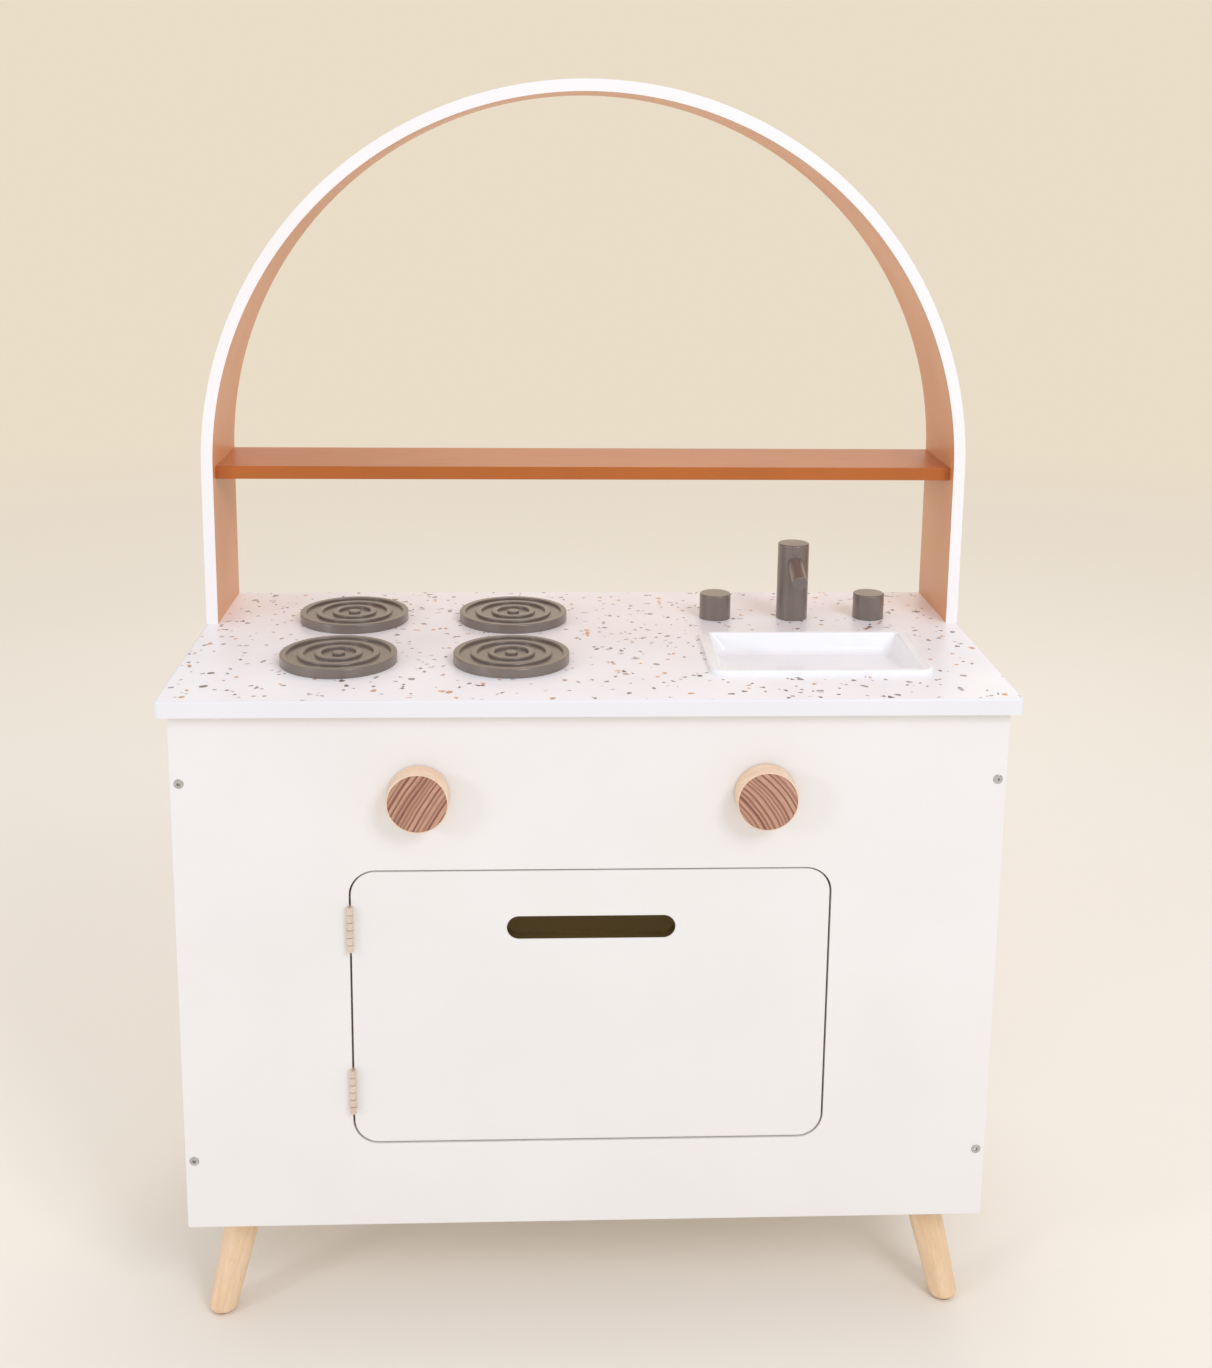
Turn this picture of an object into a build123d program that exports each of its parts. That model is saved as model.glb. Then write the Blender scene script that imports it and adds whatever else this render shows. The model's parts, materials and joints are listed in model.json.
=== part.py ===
from build123d import *
import os
from math import radians, tan

# A children's play kitchen, in millimetres. X runs left to right, Y front to back and Z up.
# The origin is on the floor, midway between the kitchen's sides and its front and back extremes.

os.makedirs("parts", exist_ok=True)

# ---- Overall sizes -----------------------------------------------------------------------------
worktop_width = 700.0
worktop_depth = 330.0
worktop_thickness = 14.0
worktop_corner_radius = 5.0
worktop_edge_radius = 2.0
laminate_thickness = 0.6
laminate_margin = 2.2
carcass_height = 460.0
leg_height = 100.0
side_inset = 8.0
front_inset = 10.0

# ---- Boards ------------------------------------------------------------------------------------
front_thickness = 12.0
side_thickness = 15.0
bottom_thickness = 12.0
back_thickness = 6.0
rail_thickness = 15.0
front_rail_depth = 34.0
back_rail_depth = 60.0
panel_corner_radius = 2.0
panel_edge_radius = 1.0

# ---- Arch and shelf ----------------------------------------------------------------------------
arch_depth = 110.0
arch_thickness = 11.0
arch_straight = 144.0
arch_edge_radius = 0.8
shelf_height = 146.0
shelf_thickness = 12.0
shelf_recess = 12.0
shelf_edge_radius = 0.8

# ---- Oven door ---------------------------------------------------------------------------------
opening_margin = 150.0
opening_drop = 135.0
opening_sill = 77.0
opening_corner_radius = 22.0
door_gap = 1.6
door_rest_gap = 0.3
slot_width = 140.0
slot_height = 20.0
slot_drop = 52.0

# ---- Butt hinges of the door -------------------------------------------------------------------
hinge_height = 40.0
hinge_inset = 29.0
knuckle_count = 6
knuckle_radius = 2.75
knuckle_gap = 0.5
hinge_pin_radius = 1.2
leaf_thickness = 0.6
leaf_setback = 2.5
knuckle_clearance = 0.3
hinge_screw_spacing = 24.0

# ---- Door stop and magnetic catch --------------------------------------------------------------
stop_block_height = 67.0
stop_block_drop = 38.0
stop_block_overlap = 16.0
stop_block_bearing = 26.0
stop_block_thickness = 18.0
magnet_radius = 5.0
magnet_thickness = 4.0
strike_radius = 6.0
strike_thickness = 1.0

# ---- Control knobs of the oven -----------------------------------------------------------------
knob_radius = 25.0
knob_reach = 21.0
knob_edge_radius = 1.0
knob_rim = 1.0
knob_face_thickness = 1.2
knob_spacing = 283.0
knob_drop = 69.0
knob_washer_radius = 9.0
knob_washer_thickness = 1.0
knob_bolt_radius = 2.5
knob_bolt_head_radius = 4.75
knob_bolt_head_height = 3.0
knob_bolt_bite = 13.0

# ---- Hob ---------------------------------------------------------------------------------------
burner_radius = 50.0
burner_height = 8.5
burner_ring_width = 5.5
burner_ring_count = 3
burner_groove = 2.4
burner_edge_radius = 1.0
burner_spacing_x = 148.0
burner_spacing_y = 130.0
hob_inset_side = 208.5
hob_shift_back = 5.5

# ---- Sink, tap knobs and faucet ----------------------------------------------------------------
sink_inset_side = 154.0
sink_inset_front = 59.0
sink_tap_gap = 59.0
sink_width = 190.0
sink_lip_width = 9.0
sink_lip_height = 5.0
sink_lip_corner = 12.0
sink_lip_edge = 2.2
sink_bowl_depth = 15.0
sink_wall = 2.5
sink_draft = 25.0
sink_floor_radius = 8.0
sink_floor_corner = 12.0
sink_cutout_clearance = 1.0
tap_inset_back = 90.0
tap_spacing = 146.0
tap_radius = 14.6
tap_height = 24.0
tap_edge_radius = 1.6
faucet_radius = 14.6
faucet_height = 72.5
spout_radius = 7.0
spout_angle = 20.0
spout_height = 54.0
spout_length = 30.0
spout_socket = 9.0
spout_edge_radius = 1.0
tap_screw_radius = 2.0
tap_screw_head_radius = 4.0
tap_screw_head_height = 2.6
tap_screw_bite = 16.0

# ---- Legs --------------------------------------------------------------------------------------
leg_top_radius = 17.5
leg_foot_radius = 14.0
leg_foot_edge_radius = 4.0
leg_splay = 13.0
foot_inset_side = 6.0
foot_inset_end = 28.0
glide_thickness = 1.5
glide_radius = 7.5
leg_plate_size = 54.0
leg_plate_thickness = 3.0
leg_plate_screw_spacing = 39.0
hanger_bolt_radius = 4.0
hanger_bolt_bite = 30.0
hanger_bolt_rise = 9.0

# ---- Fasteners ---------------------------------------------------------------------------------
front_bolt_drop = 59.0
front_bolt_rise = 63.0
front_bolt_radius = 2.5
front_bolt_length = 44.0
front_bolt_head_radius = 3.9
front_bolt_head_height = 3.0
front_bolt_proud = 0.5
front_bolt_socket = 3.0
front_bolt_socket_depth = 2.0
front_bolt_edge_radius = 0.4
barrel_nut_radius = 5.0
barrel_nut_length = 12.0
dowel_radius = 3.0
dowel_length = 24.0
dowel_bite = 9.0
bottom_dowel_inset = 92.0
shelf_dowel_length = 20.0
shelf_dowel_bite = 7.0
arch_screw_bite = 28.0
screw_radius = 1.75
screw_head_radius = 3.5
hinge_screw_radius = 1.0
hinge_screw_head_radius = 2.0
hinge_screw_length = 9.0
driver_slot_width = 0.8
driver_slot_depth = 1.6
back_screw_length = 20.0
screw_tip_room = 1.0
end_row_share = 0.25
outer_row_share = 0.33
worktop_screw_bite = 10.0
burner_screw_bite = 3.2
plate_screw_length = 12.0
stop_screw_bite = 8.0

# ---- Clearances --------------------------------------------------------------------------------
running_fit = 0.06
thread_fit = 0.05
turning_gap = 0.3
seat_gap = 0.05

# ---- Levels and lines worked out from the sizes above ------------------------------------------
carcass_bottom_z = leg_height
carcass_top_z = carcass_bottom_z + carcass_height
worktop_top_z = carcass_top_z + worktop_thickness
bottom_panel_z = carcass_bottom_z + leg_plate_thickness
knob_overhang = knob_reach - front_inset
front_y = -(worktop_depth - knob_overhang) / 2
back_y = front_y + worktop_depth
panel_front_y = front_y + front_inset
panel_back_y = panel_front_y + front_thickness
back_panel_y = back_y - back_thickness
inner_depth = back_panel_y - panel_back_y
inner_mid_y = (back_panel_y + panel_back_y) / 2
carcass_width = worktop_width - 2 * side_inset
inner_width = carcass_width - 2 * side_thickness
carcass_mid_z = (carcass_bottom_z + carcass_top_z) / 2
side_mid_x = (carcass_width - side_thickness) / 2
opening_width = worktop_width - 2 * opening_margin
opening_height = carcass_height - opening_drop - opening_sill
opening_left_x = -opening_width / 2
opening_bottom_z = carcass_bottom_z + opening_sill
opening_top_z = opening_bottom_z + opening_height
opening_mid_z = (opening_bottom_z + opening_top_z) / 2
door_width = opening_width - 2 * door_gap
door_height = opening_height - 2 * door_gap
door_thickness = front_thickness - door_rest_gap
slot_z = opening_top_z - slot_drop
knob_z = carcass_top_z - knob_drop
knob_face_radius = knob_radius - knob_rim
arch_front_y = back_y - arch_depth
arch_radius = worktop_width / 2
arch_inner_radius = arch_radius - arch_thickness
shelf_top_z = worktop_top_z + shelf_height
shelf_front_y = arch_front_y + shelf_recess
hob_x = hob_inset_side - worktop_width / 2
burner_ring_pitch = (burner_radius - burner_ring_width) / burner_ring_count
hob_y = front_y + worktop_depth / 2 + hob_shift_back
tap_y = back_y - tap_inset_back
sink_x = worktop_width / 2 - sink_inset_side
sink_depth = worktop_depth - tap_inset_back - sink_tap_gap - sink_inset_front
sink_y = front_y + sink_inset_front + sink_depth / 2
bolt_height = carcass_height - front_bolt_drop - front_bolt_rise
bolt_mid_z = carcass_mid_z + (front_bolt_rise - front_bolt_drop) / 2
hinge_axis_x = opening_left_x + door_gap / 2
hinge_axis_y = panel_front_y - knuckle_radius - seat_gap
leaf_front_y = hinge_axis_y + knuckle_radius + knuckle_clearance
leaf_depth = front_thickness - leaf_setback
hinge_levels = {
    "upper": opening_top_z - door_gap - hinge_inset - hinge_height / 2,
    "lower": opening_bottom_z + door_gap + hinge_inset + hinge_height / 2,
}
sides = {"left": -1, "right": 1}
top_down = (Align.CENTER, Align.CENTER, Align.MAX)
bottom_up = (Align.CENTER, Align.CENTER, Align.MIN)


# ---- Shared helpers ----------------------------------------------------------------------------
def facing_front(y, x=0.0, z=0.0):
    """Plane seen from the front: local x along X, local y along Z, normal toward -Y."""
    return Plane(origin=(x, y, z), x_dir=(1, 0, 0), z_dir=(0, -1, 0))


def facing_back(y, x=0.0, z=0.0):
    """Plane seen from behind, with its normal toward +Y."""
    return Plane(origin=(x, y, z), x_dir=(-1, 0, 0), z_dir=(0, 1, 0))


def facing_down(z, x=0.0, y=0.0):
    """Plane seen from below, with its normal toward -Z."""
    return Plane(origin=(x, y, z), x_dir=(1, 0, 0), z_dir=(0, 0, -1))


def facing_x(direction, x, y, z):
    """Plane whose normal is +X or -X."""
    return Plane(origin=(x, y, z), x_dir=(0, 1, 0), z_dir=(direction, 0, 0))


def save(builder, name):
    """Label a finished piece and write it."""
    builder.part.label = name
    export_step(builder.part, f"parts/{name}.step")


def cross_recess(width, depth, align):
    """Cut the cross for a screwdriver at the current location."""
    Box(width, driver_slot_width, depth, align=align, mode=Mode.SUBTRACT)
    Box(driver_slot_width, width, depth, align=align, mode=Mode.SUBTRACT)


def wood_screw(length, radius=screw_radius, head_radius=screw_head_radius):
    """Countersunk screw going down from the current location, its head flush there."""
    head_depth = head_radius - radius
    Cone(radius, head_radius, head_depth, align=top_down)
    Cylinder(radius, length, align=top_down)
    cross_recess(head_radius, head_depth, top_down)


def wood_screw_hole(depth, radius=screw_radius, head_radius=screw_head_radius):
    """Countersunk hole that holds a wood_screw."""
    CounterSinkHole(radius + thread_fit, head_radius + thread_fit, depth)


def board(width, depth, height, x, y, z):
    """Plain board resting at the level z, centred on x and y."""
    with Locations((x, y, z)):
        Box(width, depth, height, align=bottom_up)


# ---- Places of the repeated fasteners ----------------------------------------------------------
front_bolt_plane = facing_front(panel_front_y, z=bolt_mid_z)
front_bolt_grid = GridLocations(2 * side_mid_x, bolt_height, 2, 2)
front_bolt_locations = [front_bolt_plane.location * place for place in front_bolt_grid]
barrel_nut_y = panel_front_y + front_bolt_length - barrel_nut_radius
barrel_nut_levels = [bolt_mid_z - bolt_height / 2, bolt_mid_z + bolt_height / 2]
hinge_screw_levels = [
    middle + offset
    for middle in hinge_levels.values()
    for offset in (-hinge_screw_spacing / 2, hinge_screw_spacing / 2)
]
hinge_screw_y = leaf_front_y + leaf_depth / 2
rail_front_y = panel_back_y + front_rail_depth / 2
rail_back_y = back_panel_y - back_rail_depth / 2
rail_mid_z = carcass_top_z - rail_thickness / 2
dowel_places = [
    (panel_back_y + bottom_dowel_inset, bottom_panel_z + bottom_thickness / 2),
    (back_panel_y - bottom_dowel_inset, bottom_panel_z + bottom_thickness / 2),
    (rail_front_y, rail_mid_z),
    (rail_back_y - end_row_share * back_rail_depth, rail_mid_z),
    (rail_back_y + end_row_share * back_rail_depth, rail_mid_z),
]
worktop_screw_places = [
    (share * inner_width, y)
    for share in (-outer_row_share, 0.0, outer_row_share)
    for y in (rail_front_y, rail_back_y)
]
back_screw_places = [
    (x, carcass_mid_z + share * carcass_height)
    for x in (-side_mid_x, side_mid_x)
    for share in (-outer_row_share, 0.0, outer_row_share)
] + [
    (share * inner_width, bottom_panel_z + bottom_thickness / 2)
    for share in (-end_row_share, end_row_share)
]
arch_screw_places = [
    (side * (arch_radius - arch_thickness / 2), arch_front_y + share * arch_depth)
    for side in sides.values()
    for share in (end_row_share, 1 - end_row_share)
]
shelf_dowel_places = [
    (shelf_front_y + share * (back_y - shelf_front_y), shelf_top_z - shelf_thickness / 2)
    for share in (end_row_share, 1 - end_row_share)
]
tap_places = {name: sink_x + side * tap_spacing / 2 for name, side in sides.items()}
knob_places = {name: side * knob_spacing / 2 for name, side in sides.items()}
burner_places = {
    f"burner_{row}_{name}": (hob_x + side * burner_spacing_x / 2, hob_y + step * burner_spacing_y / 2)
    for row, step in (("front", -1), ("back", 1))
    for name, side in sides.items()
}
foot_places = {
    f"{row}_{name}": (side * (inner_width / 2 - foot_inset_side), foot_y, side, step)
    for row, foot_y, step in (
        ("front", panel_front_y + foot_inset_end, -1),
        ("back", back_y - foot_inset_end, 1),
    )
    for name, side in sides.items()
}
splay_run = tan(radians(leg_splay))
leg_length = leg_height - glide_thickness
leg_lean = splay_run * leg_length
hanger_bore_rise = leg_plate_thickness + hanger_bolt_rise + 2 * thread_fit
leg_axes = {
    place: Plane(
        origin=(x - side * leg_lean, y - step * leg_lean, carcass_bottom_z),
        z_dir=(-side * splay_run, -step * splay_run, 1),
    )
    for place, (x, y, side, step) in foot_places.items()
}
plate_screw_grid = GridLocations(leg_plate_screw_spacing, leg_plate_screw_spacing, 2, 2)
plate_screw_locations = [
    facing_down(carcass_bottom_z, axis.origin.X, axis.origin.Y).location * place
    for axis in leg_axes.values()
    for place in plate_screw_grid
]
stop_block_x = -opening_left_x + (stop_block_bearing - stop_block_overlap - door_gap) / 2
stop_block_z = opening_top_z - stop_block_drop - stop_block_height / 2
stop_block_back_y = panel_back_y + stop_block_thickness
stop_screw_x = -opening_left_x + stop_block_bearing / 2
stop_screw_places = [
    (stop_screw_x, stop_block_z + share * stop_block_height)
    for share in (-end_row_share, end_row_share)
]
magnet_x = -opening_left_x - door_gap - stop_block_overlap / 2

# ---- Front panel with the oven opening ---------------------------------------------------------
with BuildPart() as front_panel:
    with BuildSketch(facing_front(panel_back_y, z=carcass_mid_z)):
        RectangleRounded(carcass_width, carcass_height, panel_corner_radius)
    extrude(amount=front_thickness)
    fillet(front_panel.faces().sort_by(Axis.Y)[0].edges(), radius=panel_edge_radius)
    with BuildSketch(facing_front(panel_back_y, z=opening_mid_z)):
        RectangleRounded(opening_width, opening_height, opening_corner_radius)
    extrude(amount=front_thickness, mode=Mode.SUBTRACT)
    with Locations(*front_bolt_locations):
        CounterBoreHole(
            front_bolt_radius + running_fit,
            front_bolt_head_radius + 2 * running_fit,
            front_bolt_head_height - front_bolt_proud,
            front_thickness,
        )
    with Locations(*[facing_front(panel_front_y, x, knob_z) for x in knob_places.values()]):
        Hole(knob_bolt_radius + running_fit, front_thickness)
    with Locations(*[facing_x(1, opening_left_x, hinge_screw_y, z) for z in hinge_screw_levels]):
        Hole(hinge_screw_head_radius + thread_fit, hinge_screw_head_radius)
        Hole(hinge_screw_radius + thread_fit, hinge_screw_length)
    with Locations(*[facing_back(panel_back_y, x, z) for x, z in stop_screw_places]):
        Hole(screw_radius + thread_fit, stop_screw_bite + screw_tip_room)
save(front_panel, "front_panel")

# ---- Side panels -------------------------------------------------------------------------------
for name, side in sides.items():
    with BuildPart() as side_panel:
        board(side_thickness, inner_depth, carcass_height, side * side_mid_x, inner_mid_y, carcass_bottom_z)
        bolt_bore = front_bolt_length - front_thickness + screw_tip_room
        with Locations(*[facing_front(panel_back_y, side * side_mid_x, z) for z in barrel_nut_levels]):
            Hole(front_bolt_radius + thread_fit, bolt_bore)
        inner_face_x = side * inner_width / 2
        with Locations(*[facing_x(-side, inner_face_x, barrel_nut_y, z) for z in barrel_nut_levels]):
            Hole(barrel_nut_radius + thread_fit, barrel_nut_length)
        with Locations(*[facing_x(-side, inner_face_x, y, z) for y, z in dowel_places]):
            Hole(dowel_radius + thread_fit, dowel_bite)
        back_bite = back_screw_length - back_thickness + screw_tip_room
        side_screws = [place for place in back_screw_places if place[0] * side > inner_width / 2]
        with Locations(*[facing_back(back_panel_y, x, z) for x, z in side_screws]):
            Hole(screw_radius + thread_fit, back_bite)
    save(side_panel, f"{name}_side_panel")

# ---- Bottom panel ------------------------------------------------------------------------------
with BuildPart() as bottom_panel:
    board(inner_width, inner_depth, bottom_thickness, 0, inner_mid_y, bottom_panel_z)
    for side in sides.values():
        with Locations(
            *[facing_x(side, side * inner_width / 2, y, z) for y, z in dowel_places[:2]]
        ):
            Hole(dowel_radius + thread_fit, dowel_length - dowel_bite)
    with Locations(*[facing_back(back_panel_y, x, z) for x, z in back_screw_places[-2:]]):
        Hole(screw_radius + thread_fit, back_screw_length - back_thickness + screw_tip_room)
    with Locations(*plate_screw_locations):
        Hole(screw_radius + thread_fit, plate_screw_length + thread_fit)
    for axis in leg_axes.values():
        with Locations(axis):
            Cylinder(hanger_bolt_radius + thread_fit, 2 * hanger_bore_rise, mode=Mode.SUBTRACT)
save(bottom_panel, "bottom_panel")

# ---- Back panel --------------------------------------------------------------------------------
with BuildPart() as back_panel:
    with BuildSketch(facing_back(back_panel_y, z=carcass_mid_z)):
        RectangleRounded(carcass_width, carcass_height, panel_corner_radius)
    extrude(amount=back_thickness)
    with Locations(*[facing_back(back_y, x, z) for x, z in back_screw_places]):
        wood_screw_hole(back_thickness)
save(back_panel, "back_panel")

# ---- Rails under the worktop -------------------------------------------------------------------
for name, rail_y, rail_depth, rail_dowels in (
    ("front_rail", rail_front_y, front_rail_depth, dowel_places[2:3]),
    ("back_rail", rail_back_y, back_rail_depth, dowel_places[3:]),
):
    with BuildPart() as rail:
        board(inner_width, rail_depth, rail_thickness, 0, rail_y, carcass_top_z - rail_thickness)
        for side in sides.values():
            with Locations(*[facing_x(side, side * inner_width / 2, y, z) for y, z in rail_dowels]):
                Hole(dowel_radius + thread_fit, dowel_length - dowel_bite)
        rail_screws = [place for place in worktop_screw_places if place[1] == rail_y]
        with Locations(*[facing_down(carcass_top_z - rail_thickness, x, y) for x, y in rail_screws]):
            wood_screw_hole(rail_thickness)
    save(rail, name)

with BuildPart() as carcass_dowels:
    for side in sides.values():
        seat_x = side * (inner_width / 2 + dowel_bite)
        with Locations(*[facing_x(side, seat_x, y, z) for y, z in dowel_places]):
            Cylinder(dowel_radius, dowel_length - thread_fit, align=top_down)
save(carcass_dowels, "carcass_dowels")

# ---- Worktop -----------------------------------------------------------------------------------
sink_bowl_width = sink_width - 2 * sink_lip_width + 2 * sink_wall
sink_bowl_length = sink_depth - 2 * sink_lip_width + 2 * sink_wall
sink_bowl_corner = sink_lip_corner - sink_lip_width + sink_wall
sink_bottom_z = worktop_top_z - sink_bowl_depth
sink_floor_inset = sink_bowl_depth * tan(radians(sink_draft))
laminate_depth = worktop_depth - laminate_margin
laminate_mid_y = back_y - laminate_depth / 2
laminate_corner_radius = worktop_corner_radius - laminate_margin


def cut_worktop_openings():
    """Cut the sink opening and the screw holes down through the piece being built."""
    with BuildSketch(Plane((sink_x, sink_y, worktop_top_z))) as cutout:
        RectangleRounded(
            sink_bowl_width + 2 * sink_cutout_clearance,
            sink_bowl_length + 2 * sink_cutout_clearance,
            sink_bowl_corner + sink_cutout_clearance,
        )
    extrude(cutout.sketch, amount=-worktop_thickness, mode=Mode.SUBTRACT)
    with Locations(*[Plane((x, tap_y, worktop_top_z)) for x in (*tap_places.values(), sink_x)]):
        Hole(tap_screw_radius + running_fit, worktop_thickness)
    with Locations(*[Plane((x, y, worktop_top_z)) for x, y in burner_places.values()]):
        Hole(screw_radius + thread_fit, worktop_thickness)


with BuildPart() as worktop:
    with BuildSketch(Plane((0, back_y - worktop_depth / 2, carcass_top_z))) as worktop_outline:
        Rectangle(worktop_width, worktop_depth)
        fillet(worktop_outline.vertices().group_by(Axis.Y)[0], radius=worktop_corner_radius)
    extrude(amount=worktop_thickness)
    top_edges = worktop.faces().sort_by(Axis.Z)[-1].edges()
    fillet(top_edges.sort_by(Axis.Y)[:-1], radius=worktop_edge_radius)
    with BuildSketch(Plane((0, laminate_mid_y, worktop_top_z))) as laminate_recess:
        Rectangle(worktop_width - 2 * laminate_margin, laminate_depth)
        fillet(laminate_recess.vertices().group_by(Axis.Y)[0], radius=laminate_corner_radius)
    extrude(amount=-laminate_thickness, mode=Mode.SUBTRACT)
    cut_worktop_openings()
    with Locations(*[facing_down(carcass_top_z, x, y) for x, y in arch_screw_places]):
        wood_screw_hole(worktop_thickness)
    with Locations(*[facing_down(carcass_top_z, x, y) for x, y in burner_places.values()]):
        wood_screw_hole(worktop_thickness)
    with Locations(*[facing_down(carcass_top_z, x, y) for x, y in worktop_screw_places]):
        Hole(screw_radius + thread_fit, worktop_screw_bite + screw_tip_room)
save(worktop, "worktop")

with BuildPart() as worktop_laminate:
    with BuildSketch(Plane((0, laminate_mid_y, worktop_top_z))) as laminate_outline:
        Rectangle(worktop_width - 2 * laminate_margin, laminate_depth)
        fillet(laminate_outline.vertices().group_by(Axis.Y)[0], radius=laminate_corner_radius)
    extrude(amount=-laminate_thickness)
    cut_worktop_openings()
    with Locations(*[Plane((x, y, worktop_top_z)) for x, y in arch_screw_places]):
        Hole(screw_radius + thread_fit, laminate_thickness)
save(worktop_laminate, "worktop_laminate")

with BuildPart() as worktop_screws:
    with Locations(*[facing_down(carcass_top_z - rail_thickness, x, y) for x, y in worktop_screw_places]):
        wood_screw(rail_thickness + worktop_screw_bite)
save(worktop_screws, "worktop_screws")

# ---- Arch and shelf ----------------------------------------------------------------------------
with BuildPart() as arch:
    with BuildSketch(facing_front(back_y, z=worktop_top_z)):
        with BuildLine():
            for radius in (arch_radius, arch_inner_radius):
                Line((-radius, 0), (-radius, arch_straight))
                ThreePointArc((-radius, arch_straight), (0, arch_straight + radius), (radius, arch_straight))
                Line((radius, arch_straight), (radius, 0))
            for side in sides.values():
                Line((side * arch_inner_radius, 0), (side * arch_radius, 0))
        make_face()
    extrude(amount=arch_depth)
    front_edges = arch.faces().sort_by(Axis.Y)[0].edges().sort_by(Axis.Z)[2:]
    fillet(front_edges, radius=arch_edge_radius)
    with Locations(*[facing_down(worktop_top_z, x, y) for x, y in arch_screw_places]):
        Hole(screw_radius + thread_fit, arch_screw_bite + screw_tip_room)
    for side in sides.values():
        shelf_ends = [facing_x(-side, side * arch_inner_radius, y, z) for y, z in shelf_dowel_places]
        with Locations(*shelf_ends):
            Hole(dowel_radius + thread_fit, shelf_dowel_bite)
save(arch, "arch")

with BuildPart() as arch_screws:
    with Locations(*[facing_down(carcass_top_z, x, y) for x, y in arch_screw_places]):
        wood_screw(worktop_thickness + arch_screw_bite)
save(arch_screws, "arch_screws")

shelf_depth = back_y - shelf_front_y
shelf_underside_z = shelf_top_z - shelf_thickness
shelf_end_x = arch_inner_radius - seat_gap
with BuildPart() as shelf:
    board(2 * shelf_end_x, shelf_depth, shelf_thickness, 0, back_y - shelf_depth / 2, shelf_underside_z)
    fillet(shelf.faces().sort_by(Axis.Y)[0].edges().filter_by(Axis.X), radius=shelf_edge_radius)
    for side in sides.values():
        with Locations(*[facing_x(side, side * shelf_end_x, y, z) for y, z in shelf_dowel_places]):
            Hole(dowel_radius + thread_fit, shelf_dowel_length - shelf_dowel_bite)
save(shelf, "shelf")

with BuildPart() as shelf_dowels:
    for side in sides.values():
        seat_x = side * (arch_inner_radius + shelf_dowel_bite)
        with Locations(*[facing_x(side, seat_x, y, z) for y, z in shelf_dowel_places]):
            Cylinder(dowel_radius, shelf_dowel_length - thread_fit, align=top_down)
save(shelf_dowels, "shelf_dowels")

# ---- Bolts and cross dowels of the front, screws of the back -----------------------------------
bolt_underhead = front_bolt_proud - front_bolt_head_height
with BuildPart() as front_bolts:
    with Locations(*[place * Location((0, 0, bolt_underhead)) for place in front_bolt_locations]):
        Cylinder(front_bolt_head_radius, front_bolt_head_height, align=bottom_up)
        Cylinder(front_bolt_radius, front_bolt_length + bolt_underhead, align=top_down)
    fillet(front_bolts.faces().group_by(Axis.Y)[0].edges(), radius=front_bolt_edge_radius)
    for place in front_bolt_locations:
        with BuildSketch(Plane(place * Location((0, 0, front_bolt_proud)))):
            RegularPolygon(front_bolt_socket / 2, 6, major_radius=False)
        extrude(amount=-front_bolt_socket_depth, mode=Mode.SUBTRACT)
save(front_bolts, "front_bolts")

with BuildPart() as barrel_nuts:
    for side in sides.values():
        nut_faces = [facing_x(-side, side * inner_width / 2, barrel_nut_y, z) for z in barrel_nut_levels]
        with Locations(*nut_faces):
            Cylinder(barrel_nut_radius, barrel_nut_length - thread_fit, align=top_down)
        with Locations(*[facing_front(panel_back_y, side * side_mid_x, z) for z in barrel_nut_levels]):
            Hole(front_bolt_radius + thread_fit, front_bolt_length)
save(barrel_nuts, "barrel_nuts")

with BuildPart() as back_screws:
    with Locations(*[facing_back(back_y, x, z) for x, z in back_screw_places]):
        wood_screw(back_screw_length)
save(back_screws, "back_screws")

# ---- Oven door ---------------------------------------------------------------------------------
door_left_x = -door_width / 2
door_back_y = panel_front_y + door_thickness
with BuildPart() as oven_door:
    with BuildSketch(facing_front(panel_front_y, z=opening_mid_z)):
        RectangleRounded(door_width, door_height, opening_corner_radius - door_gap)
        with Locations((0, slot_z - opening_mid_z)):
            SlotOverall(slot_width, slot_height, mode=Mode.SUBTRACT)
    extrude(amount=-door_thickness)
    fillet(oven_door.faces().sort_by(Axis.Y)[0].edges(), radius=panel_edge_radius)
    with Locations(*[facing_x(-1, door_left_x, hinge_screw_y, z) for z in hinge_screw_levels]):
        Hole(hinge_screw_head_radius + thread_fit, hinge_screw_head_radius)
        Hole(hinge_screw_radius + thread_fit, hinge_screw_length)
    with Locations(facing_back(door_back_y, magnet_x, stop_block_z)):
        Hole(strike_radius + thread_fit, strike_thickness)
save(oven_door, "oven_door")

with BuildPart() as strike_plate:
    with Locations(facing_back(door_back_y, magnet_x, stop_block_z)):
        Cylinder(strike_radius, strike_thickness, align=top_down)
save(strike_plate, "strike_plate")

# ---- Door stop with its magnet -----------------------------------------------------------------
stop_block_width = stop_block_overlap + stop_block_bearing + door_gap
with BuildPart() as door_stop_block:
    with BuildSketch(facing_front(panel_back_y, stop_block_x, stop_block_z)):
        Rectangle(stop_block_width, stop_block_height)
    extrude(amount=-stop_block_thickness)
    fillet(door_stop_block.faces().sort_by(Axis.Y)[-1].edges(), radius=panel_edge_radius)
    with Locations(facing_front(panel_back_y, magnet_x, stop_block_z)):
        Hole(magnet_radius + thread_fit, magnet_thickness)
    with Locations(*[facing_back(stop_block_back_y, x, z) for x, z in stop_screw_places]):
        wood_screw_hole(stop_block_thickness)
save(door_stop_block, "door_stop_block")

with BuildPart() as catch_magnet:
    with Locations(facing_front(panel_back_y, magnet_x, stop_block_z)):
        Cylinder(magnet_radius, magnet_thickness, align=top_down)
save(catch_magnet, "catch_magnet")

with BuildPart() as stop_block_screws:
    with Locations(*[facing_back(stop_block_back_y, x, z) for x, z in stop_screw_places]):
        wood_screw(stop_block_thickness + stop_screw_bite)
save(stop_block_screws, "stop_block_screws")

# ---- Hinges ------------------------------------------------------------------------------------
knuckle_pitch = hinge_height / knuckle_count
knuckle_height = knuckle_pitch - knuckle_gap


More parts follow.
